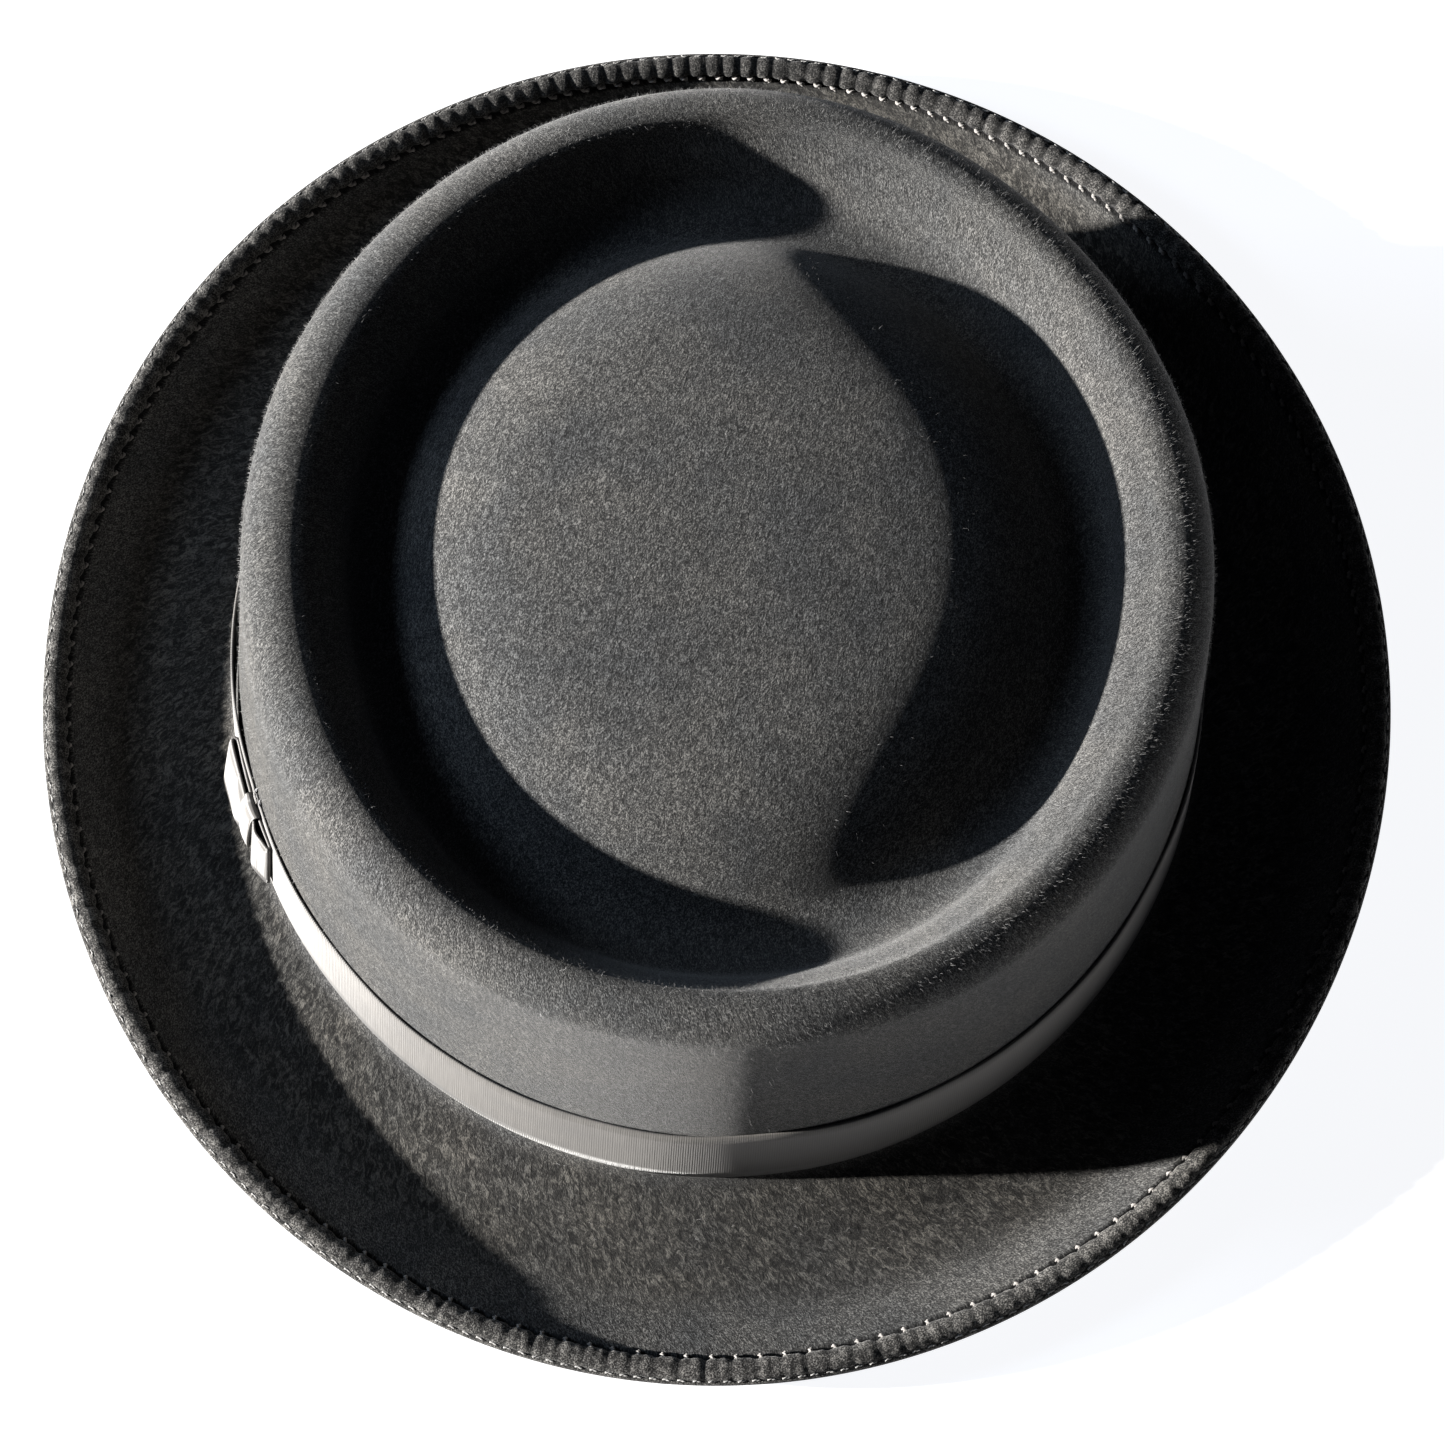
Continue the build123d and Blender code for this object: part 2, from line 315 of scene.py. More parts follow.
def plane(tree, x, y):
    """A vector from two sockets."""
    made = node(tree, "ShaderNodeCombineXYZ")
    tree.links.new(x, made.inputs[0])
    tree.links.new(y, made.inputs[1])
    return made.outputs[0]


def noise(tree, vector, scale, detail=2.0, roughness=0.5, distortion=0.0):
    made = node(tree, "ShaderNodeTexNoise")
    tree.links.new(vector, made.inputs["Vector"])
    made.inputs["Scale"].default_value = scale
    made.inputs["Detail"].default_value = detail
    made.inputs["Roughness"].default_value = roughness
    made.inputs["Distortion"].default_value = distortion
    return made.outputs["Fac"]


def stretched(tree, place, factors, detail, roughness=0.5):
    """Noise over a place scaled by a factor per axis."""
    return noise(tree, scaled(tree, place, factors), 1.0, detail, roughness)


def ramp(tree, value, *stops):
    """A colour ramp; each stop is (position, colour)."""
    made = node(tree, "ShaderNodeValToRGB")
    tree.links.new(value, made.inputs[0])
    elements = made.color_ramp.elements
    while len(elements) < len(stops):
        elements.new(0.5)
    for element, (position, colour) in zip(elements, stops):
        element.position = position
        element.color = (*colour, 1.0)
    return made.outputs[0]


def grey(level):
    return (level,) * 3


def between(tree, value, low, high):
    """A grey ramp over the middle of a noise's range."""
    return ramp(tree, value, (0.3, grey(low)), (0.7, grey(high)))


def mixed(tree, share, a, b, kind="RGBA", blend="MIX"):
    """A Mix node; a and b are sockets or colours."""
    made = node(tree, "ShaderNodeMix", data_type=kind)
    first = 2
    if kind == "RGBA":
        made.blend_type = blend
        first = 6
    for index, value in ((0, share), (first, a), (first + 1, b)):
        if isinstance(value, (int, float)):
            made.inputs[index].default_value = value
        elif isinstance(value, tuple):
            made.inputs[index].default_value = (*value, 1.0)
        else:
            tree.links.new(value, made.inputs[index])
    return made.outputs[2 if kind == "RGBA" else 0]


def bumped(tree, height, strength, distance, under=None):
    made = node(tree, "ShaderNodeBump")
    made.inputs["Strength"].default_value = strength
    made.inputs["Distance"].default_value = distance
    tree.links.new(height, made.inputs["Height"])
    if under is not None:
        tree.links.new(under, made.inputs["Normal"])
    return made.outputs[0]


def attribute(tree, name):
    return node(tree, "ShaderNodeAttribute", attribute_name=name).outputs["Fac"]


def object_mm(tree):
    """Object coordinates in millimetres."""
    return scaled(tree, node(tree, "ShaderNodeTexCoord").outputs["Object"], (1000, 1000, 1000))


def round_the_hat(tree, slant=0.0):
    """Coordinates in millimetres: x round the hat, y along the section."""
    parts = node(tree, "ShaderNodeSeparateXYZ")
    tree.links.new(object_mm(tree), parts.inputs[0])
    turn = maths(tree, "ARCTAN2", maths(tree, "DIVIDE", parts.outputs[1], OVAL), parts.outputs[0])
    run = attribute(tree, "run")
    return plane(tree, weighted(tree, turn, MEAN_RADIUS, run, slant), run)


# Materials


def felt_material():
    """Brushed fur felt: short slanted fibres in clumps, mottled, matt with a soft sheen; painted shade
    darkens the brim, the foot of the crown wall and the stitch channel.
    """
    material, tree = new_material("felt_nap")
    wall = round_the_hat(tree, slant=0.45)
    turned = node(tree, "ShaderNodeVectorRotate", rotation_type="Z_AXIS")
    tree.links.new(object_mm(tree), turned.inputs["Vector"])
    turned.inputs["Angle"].default_value = radians(18)
    top = turned.outputs[0]
    tip = attribute(tree, "tip")
    layers = []
    for scale, stretch, detail, bend in ((4.4, 0.6, 4.0, 0.5), (1.4, 0.45, 2.0, 0.7)):
        on_wall = noise(tree, scaled(tree, wall, (1, stretch, 1)), scale, detail, 0.6, bend)
        on_tip = noise(tree, scaled(tree, top, (1, stretch, 1)), scale, detail, 0.6, bend)
        layers.append(mixed(tree, tip, on_wall, on_tip, kind="FLOAT"))
    fibres, clumps = layers
    # The flat mask marks the pressed nap of the brim and also where painted shade goes.
    pressed_and_shaded = attribute(tree, "flat")
    tufts = noise(tree, scaled(tree, wall, (1, 0.55, 1)), 0.95, 3.0, 0.62, 1.2)
    clumps = mixed(tree, pressed_and_shaded, clumps, tufts, kind="FLOAT")
    coarse = maths(tree, "ADD", maths(tree, "MULTIPLY", pressed_and_shaded, 0.3), 0.26)
    grain = mixed(tree, coarse, fibres, clumps, kind="FLOAT")
    dark, middle, bright = (0.007, 0.007, 0.0072), grey(0.027), (0.115, 0.114, 0.112)
    colour = ramp(tree, grain, (0.40, dark), (0.5, middle), (0.61, bright))
    mottle = noise(tree, object_mm(tree), 0.055, 3.0, 0.55, 0.3)
    tint = ramp(tree, mottle, (0.35, (0.80, 0.82, 0.84)), (0.65, (1.14, 1.12, 1.08)))
    # Painted shade with a warmer tone of the pressed felt: darker where the flat mask is set.
    painted_shade = ramp(tree, pressed_and_shaded, (0.0, grey(1.0)), (1.0, (0.69, 0.66, 0.61)))
    for over in (tint, painted_shade):
        colour = mixed(tree, 1.0, colour, over, blend="MULTIPLY")
    # Painted shade: near-black where the stitch channel dips into the felt.
    colour = mixed(tree, attribute(tree, "crease_shade"), colour, (0.006, 0.006, 0.0065))
    normal = bumped(tree, fibres, 1.0, 0.0002, bumped(tree, clumps, 0.5, 0.0004))
    return dressed(
        material, colour, normal, between(tree, grain, 0.98, 0.82), Specular_IOR_Level=0.18,
        Sheen_Weight=0.16, Sheen_Roughness=0.35, Sheen_Tint=(0.95, 0.95, 0.95, 1),
    )


def welt_material():
    """Puckered felt strip: sandy short nap, with painted shade in the pinches."""
    material, tree = new_material("welt_felt_nap")
    place = object_mm(tree)
    fine = noise(tree, place, 3.4, 3.0, 0.65, 0.4)
    patch = noise(tree, place, 0.5, 2.0, 0.5, 0.2)
    grain = weighted(tree, fine, 0.75, patch, 0.25)
    dark, middle, bright = (0.004, 0.004, 0.0038), (0.022, 0.0213, 0.0203), (0.13, 0.125, 0.117)
    colour = ramp(tree, grain, (0.42, dark), (0.5, middle), (0.60, bright))
    # Painted shade from the mask that welt() sets.
    colour = mixed(tree, attribute(tree, "crease_shade"), colour, grey(0.006))
    normal = bumped(tree, fine, 0.8, 0.00022, bumped(tree, patch, 0.4, 0.0004))
    return dressed(
        material, colour, normal, between(tree, grain, 0.98, 0.84),
        Specular_IOR_Level=0.18, Sheen_Weight=0.10, Sheen_Roughness=0.4,
    )


def thread_material(name, colour):
    """Twisted sewing thread with a soft lustre and slightly uneven dye."""
    material, tree = new_material(name)
    place = object_mm(tree)
    fuzz = noise(tree, place, 5.0, 2.0, 0.6)
    dye = noise(tree, place, 0.12, 2.0, 0.5)
    dark = tuple(0.62 * c for c in colour)
    uneven = ramp(tree, weighted(tree, fuzz, 0.5, dye, 0.5), (0.38, dark), (0.62, colour))
    normal = bumped(tree, fuzz, 0.5, 0.00012)
    return dressed(material, uneven, normal, between(tree, fuzz, 0.5, 0.75), Sheen_Weight=0.2)


def ribbon_material():
    """Satin-faced grosgrain: fine ribs across the ribbon, slubs, faint stains and a silky sheen."""
    material, tree = new_material("ribbon_grosgrain")
    bright = (0.103, 0.0985, 0.094)
    dark = tuple(0.72 * c for c in bright)
    along = attribute(tree, "along")
    cloth = plane(tree, along, attribute(tree, "up"))
    wander = stretched(tree, cloth, (0.25, 0.02, 1), 2.0)
    phase = weighted(tree, along, 2 * pi / RIB_PITCH, wander, 5.0)
    ribs = maths(tree, "ADD", maths(tree, "MULTIPLY", maths(tree, "SINE", phase), 0.5), 0.5)
    slubs = stretched(tree, cloth, (2.6, 0.08, 1), 3.0, 0.6)
    weave = stretched(tree, cloth, (5.0, 5.0, 1), 1.0)
    pattern = weighted(tree, ribs, 0.35, slubs, 0.65)
    colour = ramp(tree, pattern, (0.3, dark), (0.72, bright))
    stain = stretched(tree, cloth, (0.05, 0.1, 1), 2.0)
    stain = ramp(tree, stain, (0.3, grey(0.9)), (0.7, (1.05, 1.04, 1.02)))
    colour = mixed(tree, 1.0, colour, stain, blend="MULTIPLY")
    normal = bumped(tree, weighted(tree, pattern, 0.8, weave, 0.2), 0.35, 0.00022)
    return dressed(
        material, colour, normal, between(tree, slubs, 0.64, 0.74), Specular_IOR_Level=0.75,
        Anisotropic=0.85, Anisotropic_Rotation=0.25, Sheen_Weight=0.1, Sheen_Roughness=0.35,
    )


def leather_material():
    """Roan leather: fine pebbled grain, creases round the head and darker handling marks."""
    material, tree = new_material("sweatband_leather")
    place = object_mm(tree)
    cells = node(tree, "ShaderNodeTexVoronoi", feature="DISTANCE_TO_EDGE")
    tree.links.new(place, cells.inputs["Vector"])
    cells.inputs["Scale"].default_value = 1.1
    grain = cells.outputs["Distance"]
    fine = noise(tree, place, 2.5, 3.0, 0.6)
    marks = noise(tree, place, 0.06, 4.0, 0.6, 0.5)
    crease = stretched(tree, round_the_hat(tree), (0.05, 0.9, 1), 3.0, 0.6)
    colour = ramp(tree, marks, (0.3, (0.045, 0.024, 0.013)), (0.7, (0.13, 0.070, 0.036)))
    gaps = ramp(tree, grain, (0.0, grey(0.55)), (0.12, grey(1.0)))
    colour = mixed(tree, 1.0, colour, gaps, blend="MULTIPLY")
    normal = bumped(tree, crease, 0.35, 0.0006)
    normal = bumped(tree, grain, 0.5, 0.00018, normal)
    normal = bumped(tree, fine, 0.25, 0.0001, normal)
    return dressed(material, colour, normal, between(tree, marks, 0.36, 0.52))


def satin_material(name):
    """Lining satin: long floats, soft wrinkles with painted shade in their troughs and painted light on
    their crests, and a bright sheen.
    """
    material, tree = new_material(name)
    place = object_mm(tree)
    floats = stretched(tree, place, (3.0, 0.5, 3.0), 2.0, 0.6)
    folds = noise(tree, place, 0.045, 3.0, 0.55, 0.6)
    # Painted shade and light: the colour follows the wrinkle bump, darker in the troughs and lighter on
    # the crests.
    colour = ramp(tree, folds, (0.3, (0.055, 0.056, 0.062)), (0.7, (0.13, 0.13, 0.142)))
    colour = mixed(tree, 1.0, colour, between(tree, floats, 0.86, 1.08), blend="MULTIPLY")
    normal = bumped(tree, floats, 0.25, 0.0001, bumped(tree, folds, 0.5, 0.0035))
    roughness = between(tree, floats, 0.26, 0.40)
    return dressed(material, colour, normal, roughness, Anisotropic=0.6, Sheen_Weight=0.3)


def cloth_material(name, dark, bright, threads_per_mm=2.2):
    """Plain woven cloth for tape, tab and small trims."""
    material, tree = new_material(name)
    parts = node(tree, "ShaderNodeSeparateXYZ")
    tree.links.new(round_the_hat(tree), parts.inputs[0])
    warp, weft = (
        maths(tree, "SINE", maths(tree, "MULTIPLY", place, 2 * pi * threads_per_mm))
        for place in (parts.outputs[0], parts.outputs[1])
    )
    weave = maths(tree, "ADD", maths(tree, "MULTIPLY", maths(tree, "MULTIPLY", warp, weft), 0.25), 0.5)
    uneven = noise(tree, object_mm(tree), 1.2, 3.0, 0.6)
    both = weighted(tree, weave, 0.5, uneven, 0.5)
    colour = ramp(tree, both, (0.35, dark), (0.65, bright))
    normal = bumped(tree, both, 0.5, 0.0002)
    return dressed(material, colour, normal, between(tree, uneven, 0.8, 0.95), Sheen_Weight=0.15)


felt_nap = felt_material()
welt_nap = welt_material()
welt_thread = thread_material("welt_thread", (0.17, 0.158, 0.147))
edge_thread = thread_material("edge_thread", (0.19, 0.185, 0.178))
hidden_thread = thread_material("sewing_thread", (0.10, 0.10, 0.105))
ribbon_satin = ribbon_material()
fibre = thread_material("felt_fibre", (0.09, 0.089, 0.087))
leather = leather_material()
lining_satin = satin_material("lining_satin")
piping_satin = satin_material("piping_satin")
tape_cloth = cloth_material("tape_cotton", (0.02, 0.02, 0.021), (0.06, 0.06, 0.062))
tab_cloth = cloth_material("tab_woven", (0.42, 0.40, 0.36), (0.62, 0.60, 0.55))
trim_ribbon = cloth_material("sweatband_ribbon", (0.03, 0.03, 0.034), (0.09, 0.09, 0.10), 1.6)


# Felt body

BODY_COLUMNS = 432
path, sides = rounded_path(
    [
        EDGE,
        (CURL_CORNER, HALF),
        (108.0, HALF),
        BREAK,
        (RIM_OUTER, TOP),
        (RIM_INNER, TOP),
        RIM_SLOPE,
        GROOVE,
        TIP_EDGE,
        TIP_MIDDLE,
        (0.0, TIP_TOP),
    ],
    (12.0, 20.0, 4.5, 6.5, 9.0, 8.0, 6.0, 36.0, 200.0),
    arc_step=5.0,
    line_step=1.6,
)
run = along_line(path)
CHANNEL = 2.9                # where the inner stitches pull the felt down, from the raw edge
CHANNEL_DEPTH = 1.2

# More points across the channel
finer = np.unique(np.concatenate([run, np.arange(CHANNEL - 1.5, CHANNEL + 1.5, 0.3)]))
path = np.stack([np.interp(finer, run, path[:, k]) for k in (0, 1)], axis=1)
sides = np.stack([np.interp(finer, run, sides[:, k]) for k in (0, 1)], axis=1)
sides = unit(sides)
run = finer


def felt_body():
    """The blocked felt: both faces, closed at the raw edge, which the welt hides."""
    keep = path[:, 0] > 0.5
    middle, side, along = path[keep], sides[keep], run[keep]
    upper = middle + HALF * side
    dip = np.exp(-(((along - CHANNEL) / 0.62) ** 4))
    upper = upper - CHANNEL_DEPTH * dip[:, None] * side
    lower = (middle - HALF * side)[::-1]
    turns = turns_round(BODY_COLUMNS)
    section = np.concatenate([upper, lower])
    rows = len(upper)
    points = mould(turns, section[:, :1], section[:, 1:]).reshape(-1, 3)
    faces = grid_faces(rows, BODY_COLUMNS)
    faces += grid_faces(rows, BODY_COLUMNS, start=rows * BODY_COLUMNS)
    pairs = [(j, (j + 1) % BODY_COLUMNS) for j in range(BODY_COLUMNS)]
    edge = (2 * rows - 1) * BODY_COLUMNS
    faces += [(k, j, edge + j, edge + k) for j, k in pairs]
    top_pole = len(points)
    points = np.concatenate([
        points,
        mould(0.0, 0.0, TIP_TOP + HALF)[None, :],
        mould(0.0, 0.0, TIP_TOP - HALF)[None, :],
    ])
    last, first = (rows - 1) * BODY_COLUMNS, rows * BODY_COLUMNS
    for j, k in pairs:
        faces.append((last + j, last + k, top_pole))
        faces.append((first + k, first + j, top_pole + 1))
    body = add_mesh("felt_shell", points, faces, felt_nap, slot="felt", stands_for=["felt_body"])

    def add_rows(name, upper_values, lower_values, pole):
        """One value per point from values per row of each face, and one for both poles."""
        rows_of = np.concatenate([upper_values, lower_values]) * np.ones((1, BODY_COLUMNS))
        add_attribute(body, name, np.concatenate([rows_of.ravel(), [pole, pole]]))

    along = along[:, None]
    add_rows("run", along, along[::-1], run[-1])
    tip = 1 - smooth(60, 70, middle[:, :1])
    add_rows("tip", tip, tip[::-1], 1)
    out = middle[:, :1]
    at_front = front_share(turns)
    # This mask carries painted shade as well as the pressed brim: it reaches further out at the front and
    # covers the foot of the crown wall.
    flat = smooth(90, 96, out) * (1 - smooth(112 + 12 * at_front, 122 + 10 * at_front, out))
    flat = np.maximum(flat, 0.35 * smooth(5, 12, middle[:, 1:]) * smooth(85, 88, out))
    add_rows("flat", flat, flat[::-1], 0)
    # Painted shade mask for the stitch channel on the upper face.
    add_rows("crease_shade", np.clip(1.3 * dip, 0, 1)[:, None], np.zeros((rows, 1)), 0)


felt_body()


# Welt

OUT = np.array([cos(CURL), sin(CURL)])
UP = np.array([-sin(CURL), cos(CURL)])


def on_edge(reach, lift):
    """Section point at a distance past the raw edge, lifted off the middle of the felt."""
    return EDGE + reach * OUT + lift * UP


def span(a, b, c, d, count):
    """Points from b towards c on the Catmull-Rom curve through four points."""
    bend, twist = 2 * a - 5 * b + 4 * c - d, 3 * b - a - 3 * c + d
    steps = np.linspace(0, 1, count, endpoint=False)
    return [0.5 * (2 * b + (c - a) * t + bend * t**2 + twist * t**3) for t in steps]


def spline(points, per_span):
    """A smooth closed curve through the points."""
    points = np.asarray(points, float)
    count = len(points)
    made = []
    for i in range(count):
        made += span(*(points[(i + k - 1) % count] for k in range(4)), per_span)
    return np.array(made)


WELT_OUTLINE = [
    (-2.15, 0.75), (-2.2, 1.45), (-1.95, 2.0), (-1.3, 2.25), (-0.5, 2.2), (0.3, 1.95),
    (0.95, 1.5), (1.4, 0.85), (1.5, 0.3), (1.38, -0.08), (1.55, -0.5), (1.45, -1.1),
    (1.0, -1.6), (0.3, -1.85), (-0.6, -1.95), (-1.5, -1.95), (-2.3, -1.8), (-2.6, -1.4),
    (-2.5, -0.9), (-1.2, -0.55), (0.15, -0.3), (0.15, 0.3), (-1.2, 0.55),
]


def stitch_phase(turn):
    """Grows by a full turn from one inner stitch to the next."""
    return INNER_STITCHES * np.asarray(turn) - INNER_CROWDING * np.cos(turn)


def welt():
    """Felt strip folded over the brim edge, gathered into puffs by its stitches."""
    outline = spline(WELT_OUTLINE, 3)
    columns = 1440
    turns = turns_round(columns)
    steps = np.roll(outline, -1, axis=0) - np.roll(outline, 1, axis=0)
    normals = np.stack([-steps[:, 1], steps[:, 0]], axis=1)
    normals /= -np.linalg.norm(normals, axis=1, keepdims=True) * np.sign(normals[9, 0])
    reach, lift = outline[:, :1], outline[:, 1:]
    beat = stitch_phase(turns)
    at_back = np.clip(-np.sin(turns), 0, 1)
    roll = smooth(-2.3, -1.8, reach) * smooth(-0.2, 0.6, lift + 0.2 * reach)
    coarse = np.abs(np.sin(beat / 2)) ** 0.5 - 0.72
    fine = np.abs(np.sin(beat + 0.9 * np.sin(23 * turns))) - 0.6
    uneven = 0.75 + 0.25 * np.sin(37 * turns + 1.3) * np.sin(11 * turns)
    puffs = uneven * ((1 - 0.6 * at_back) * coarse + (0.1 + 0.2 * at_back) * fine)
    pull = np.exp(-((((beat / (2 * pi) + 0.5) % 1 - 0.5) / 0.14) ** 2))
    flank = np.exp(-(((reach + 2.1) / 0.5) ** 2)) * smooth(0.6, 1.5, lift)
    crease = np.exp(-((np.hypot(reach - 1.4, lift + 0.08) / 0.35) ** 2))
    outer_beat = (OUTER_STITCHES * turns / (2 * pi) + 0.5) % 1 - 0.5
    nip = np.exp(-((outer_beat / 0.3) ** 2))
    proud = 0.7 * roll * puffs - 0.3 * flank * pull - 0.12 * crease * nip
    raised = lift + proud * normals[:, 1:]
    moved = reach + proud * normals[:, :1]
    section = EDGE[None, None, :] + moved[..., None] * OUT + raised[..., None] * UP
    points = mould(turns, section[..., 0], section[..., 1])
    piece = add_mesh(
        "edge_welt", points, grid_faces(len(outline), columns, wrap_rows=True), welt_nap,
        slot="welt_felt", stands_for=["brim_edge_welt"],
    )
    # Painted shade: darker between the puffs, on the inner flank, in the crease by the outer stitches,
    # where the stitches pull, and all along the front.
    dark = np.clip(1.6 * roll * np.clip(-puffs, 0, 1) + 0.9 * flank * (reach < -2.1), 0, 1)
    dark = np.clip(dark + 0.5 * crease + 0.3 * flank * pull + 0.35 * front_share(turns), 0, 0.95)
    add_attribute(piece, "crease_shade", dark)
    return piece


welt()


# Loose fibres standing off the nap


def blades(name, roots, ups, lies, lengths, width):
    """Bent tapering fibres: each leaves the surface along up and lie, then bows over."""
    count = len(roots)
    across = np.cross(ups, lies) * width / 2
    first = np.radians(rng.uniform(35, 75, count))[:, None]
    second = np.radians(rng.uniform(-15, 40, count))[:, None]
    reach = lengths[:, None]
    middle = roots + 0.5 * reach * (np.cos(first) * lies + np.sin(first) * ups)
    tip = middle + 0.5 * reach * (np.cos(second) * lies + np.sin(second) * ups)
    points = [roots - across, roots + across, middle + 0.7 * across, middle - 0.7 * across, tip]
    points = np.stack(points, axis=1)
    starts = (5 * np.arange(count)).tolist()
    faces = [(k, k + 1, k + 2, k + 3) for k in starts] + [(k + 3, k + 2, k + 4) for k in starts]
    return add_mesh(name, points, faces, fibre, slot="felt")


def surface_frame(turn, place, step=0.02):
    """Points, outward normals and directions up the section on the hat's upper face."""
    def at(turn, distance):
        radius = np.interp(distance, run, path[:, 0] + HALF * sides[:, 0])
        height = np.interp(distance, run, path[:, 1] + HALF * sides[:, 1])
        return mould(turn, radius, height)
    here = at(turn, place)
    up_section = unit(at(turn, place + step) - here)
    round_it = at(turn + 0.0005, place) - here
    return here, unit(np.cross(round_it, up_section)), up_section


FIBRE_WIDTH = 0.000045       # metres


def felt_fibres(count):
    radius = path[:, 0]
    on_rim = smooth(66, 72, radius) * smooth(TOP - 12, TOP - 3, path[:, 1])
    share = np.gradient(run) * (radius + 4) * (0.35 + 4.5 * on_rim) * (radius < EDGE[0] - 3)
    total = np.concatenate([[0], np.cumsum(share)])
    place = np.interp(rng.uniform(0, total[-1], count), total, np.concatenate([run, [run[-1]]]))
    turn = rng.uniform(0, 2 * pi, count)
    roots, ups, along = surface_frame(turn, np.minimum(place, run[-1] - 0.5))
    lie = -along * smooth(60, 70, np.interp(place, run, radius))[:, None]
    lie = lie + np.array([0.25, -1.0, 0.0]) * (1 - smooth(60, 70, np.interp(place, run, radius)))[:, None]
    lie = lie + 0.75 * rng.normal(size=(count, 3))
    lie = unit(lie - ups * np.sum(lie * ups, axis=1, keepdims=True))
    lengths = 0.0005 + 0.0011 * rng.beta(1.6, 2.6, count)
    return blades("felt_fuzz", roots, ups, lie, lengths, FIBRE_WIDTH)


felt_fibres(42000)


# Stitches


def twisted_bars(centres, alongs, ups, length, width, rise):
    """Short two-ply threads: each dips in at both ends and stands proud in the middle."""
    steps, rim = 9, 6
    t = np.linspace(-1, 1, steps)
    across = np.cross(ups, alongs)
    points, faces = [], []
    ring = turns_round(rim)[0]
    block = grid_faces(steps, rim)
    for which, (centre, along, up, side) in enumerate(zip(centres, alongs, ups, across)):
        for ply in (0, 1):
            twist = pi * ply + 2.6 * t
            spine = (
                centre
                + np.outer(t * length / 2, along)
                + np.outer(rise * (1 - t**2) - 0.25 * width + 0.2 * width * np.cos(twist), up)
                + np.outer(0.22 * width * np.sin(twist), side)
            )
            thick = 0.31 * width * np.sqrt(np.clip(1 - 0.55 * t**4, 0.1, 1))
            circle = np.cos(ring)[:, None] * up + np.sin(ring)[:, None] * side
            start = len(points)
            points.extend((spine[:, None, :] + thick[:, None, None] * circle[None]).reshape(-1, 3))
            faces.extend(tuple(start + v for v in face) for face in block)
            faces.append(tuple(start + v for v in range(rim))[::-1])
            faces.append(tuple(start + (steps - 1) * rim + v for v in range(rim)))
    return np.array(points), faces


def stitch_row(name, turns, reach, lift, length, width, rise, skew, material, nodes, under=None):
    """A row of stitches round the welt; skew is their angle from the row, in degrees."""
    count = len(turns)
    jitter = rng.normal(size=(count, 3))
    turns = turns + jitter[:, 0] * 0.0008
    spots = [(reach, lift, 1.0, length)] + ([(*under, -1.0, length * 1.1)] if under else [])
    all_points, all_faces = [], []
    for spot_reach, spot_lift, side, spot_length in spots:
        section = on_edge(spot_reach, spot_lift)
        here = mould(turns, section[0], section[1])
        ahead = mould(turns + 0.002, section[0], section[1])
        out = on_edge(spot_reach + 1.0, spot_lift)
        outward = unit(mould(turns, out[0], out[1]) - here)
        round_it = unit(ahead - here)
        up = np.cross(outward, round_it)
        up *= np.sign((up[:, 2] * side))[:, None]
        lean = np.radians(skew) + 0.14 * jitter[:, 1] if side > 0 else 0.05 * jitter[:, 1]
        lean = np.broadcast_to(lean, count)[:, None]
        along = np.cos(lean) * round_it + np.sin(lean) * outward
        points, faces = twisted_bars(here, along, up, spot_length / 1000, width / 1000, rise / 1000)
        offset = sum(len(p) for p in all_points)
        all_points.append(points)
        all_faces += [tuple(offset + v for v in face) for face in faces]
    return add_mesh(name, np.concatenate(all_points), all_faces, material, slot="thread", stands_for=nodes)


fine_turns = np.linspace(0, 2 * pi, 20000)
inner_turns = np.interp(
    2 * pi * np.arange(INNER_STITCHES) - INNER_CROWDING, stitch_phase(fine_turns), fine_turns,
)
outer_turns = 2 * pi * np.arange(OUTER_STITCHES) / OUTER_STITCHES
stitch_row(
    "inner_stitches", inner_turns, -2.7, 1.4, 1.7, 0.9, 0.35, 45 - 35 * np.sin(inner_turns),
    welt_thread, ["welt_thread_inner"], under=(-2.4, -1.95),
)
stitch_row(
    "outer_stitches", outer_turns, 1.46, -0.08, 1.5, 0.42, 0.12, 0.0,
    edge_thread, ["welt_thread_outer"],
)


# Ribbon band and bow


def ribbon_piece(name, plan, feet, tops, thickness, rows=9):
    """A strip of ribbon: plan gives (along, lift) for each share of the strip's height."""
    shares = np.linspace(0, 1, rows)
    outer, inner = [], []
    for share in shares:
        line = np.asarray(plan(share), float)
        normal = side_normals(line)
        for store, half in ((outer, thickness / 2), (inner, -thickness / 2)):
            moved = line + half * normal
            height = feet + (tops - feet) * share
            radius = wall_radius(height) + (HALF + BAND_THICKNESS) / cos(WALL_LEAN) + moved[:, 1]
            turn = BOW_DIRECTION - moved[:, 0] / wall_radius(BOW_FOOT) / 1.02
            store.append(mould(turn, radius, height))
    sheets = np.concatenate([np.array(outer), np.array(inner)[::-1]])
    columns = sheets.shape[1]
    piece = add_mesh(
        name, sheets, strip_faces(rows, columns), ribbon_satin,
        slot="ribbon", stands_for=["bow_loops"],
    )
    line = np.asarray(plan(0.5), float)
    add_attribute(piece, "along", np.tile(along_line(line), 2 * rows))
    up = np.concatenate([shares, shares[::-1]]) * (tops - feet)
    add_attribute(piece, "up", np.repeat(up, columns))
    return piece


def arc_through(points, count):
    """An open smooth line through the points, evenly sampled."""
    points = np.asarray(points, float)
    ends = np.vstack([2 * points[0] - points[1], points, 2 * points[-1] - points[-2]])
    made = []
    for i in range(1, len(ends) - 2):
        made += span(*ends[i - 1:i + 3], 12)
    made.append(points[-1])
    made = np.array(made)
    along = along_line(made)
    even = np.linspace(0, along[-1], count)
    return np.stack([np.interp(even, along, made[:, k]) for k in (0, 1)], axis=1)


